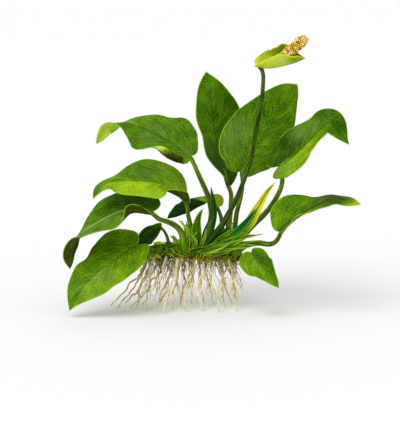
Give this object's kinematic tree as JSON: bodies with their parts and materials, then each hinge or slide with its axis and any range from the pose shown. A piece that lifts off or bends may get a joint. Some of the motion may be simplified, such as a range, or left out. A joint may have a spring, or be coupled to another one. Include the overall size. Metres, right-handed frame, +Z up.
{
  "type": "anubias nana aquarium plant",
  "caption": "Bare-rooted anubias nana plant: creeping rhizome with stalked heart-shaped leaves, a flower with a pale green spathe and yellow spadix, and a fringe of hanging roots.",
  "frame": {"origin": "middle of the plant's box at the level of the surface that the root tips stand on", "axes": "+X along the rhizome to its growing end, +Y to the back of the plant, +Z up"},
  "size_m": [0.1646, 0.0732, 0.1563],
  "materials": {
    "leaf": "satin waxy leaf, mottled green",
    "leaf_dark": "satin waxy leaf, deep green",
    "leaf_young": "satin young leaf, yellow-green",
    "stalk": "smooth fleshy stem, dark olive green",
    "sheath": "thin pale sheath",
    "rhizome": "ringed, mossy, matte",
    "root": "pale tan, matte",
    "spathe": "satin, pale yellow-green",
    "spadix": "beaded yellow florets, matte"
  },
  "bodies": {
    "root": {"leaf_blade_1": "leaf", "leaf_blade_2": "leaf", "leaf_blade_3": "leaf", "leaf_blade_4": "leaf", "leaf_blade_5": "leaf_dark", "leaf_blade_6": "leaf_dark", "leaf_blade_7": "leaf", "leaf_blade_8": "leaf", "leaf_blade_9": "leaf", "leaf_blade_10": "leaf", "leaf_blade_11": "leaf", "leaf_stalk_1": "stalk", "leaf_stalk_2": "stalk", "leaf_stalk_3": "stalk", "leaf_stalk_4": "stalk", "leaf_stalk_5": "stalk", "leaf_stalk_6": "stalk", "leaf_stalk_7": "stalk", "leaf_stalk_8": "stalk", "leaf_stalk_9": "stalk", "leaf_stalk_10": "stalk", "leaf_stalk_11": "stalk", "young_leaf_1": "leaf_young", "young_leaf_2": "leaf_young", "young_leaf_3": "leaf_young", "sheath_1": "sheath", "sheath_2": "sheath", "sheath_3": "sheath", "sheath_4": "sheath", "rhizome": "rhizome", "flower_stalk": "stalk", "spathe": "spathe", "spadix": "spadix", "root_01": "root", "root_02": "root", "root_03": "root", "root_04": "root", "root_05": "root", "root_06": "root", "root_07": "root", "root_08": "root", "root_09": "root", "root_10": "root", "root_11": "root", "root_12": "root", "root_13": "root", "root_14": "root", "root_15": "root", "root_16": "root", "root_17": "root", "root_18": "root", "root_19": "root", "root_20": "root", "root_21": "root", "root_22": "root", "root_23": "root"}
  },
  "joints": []
}
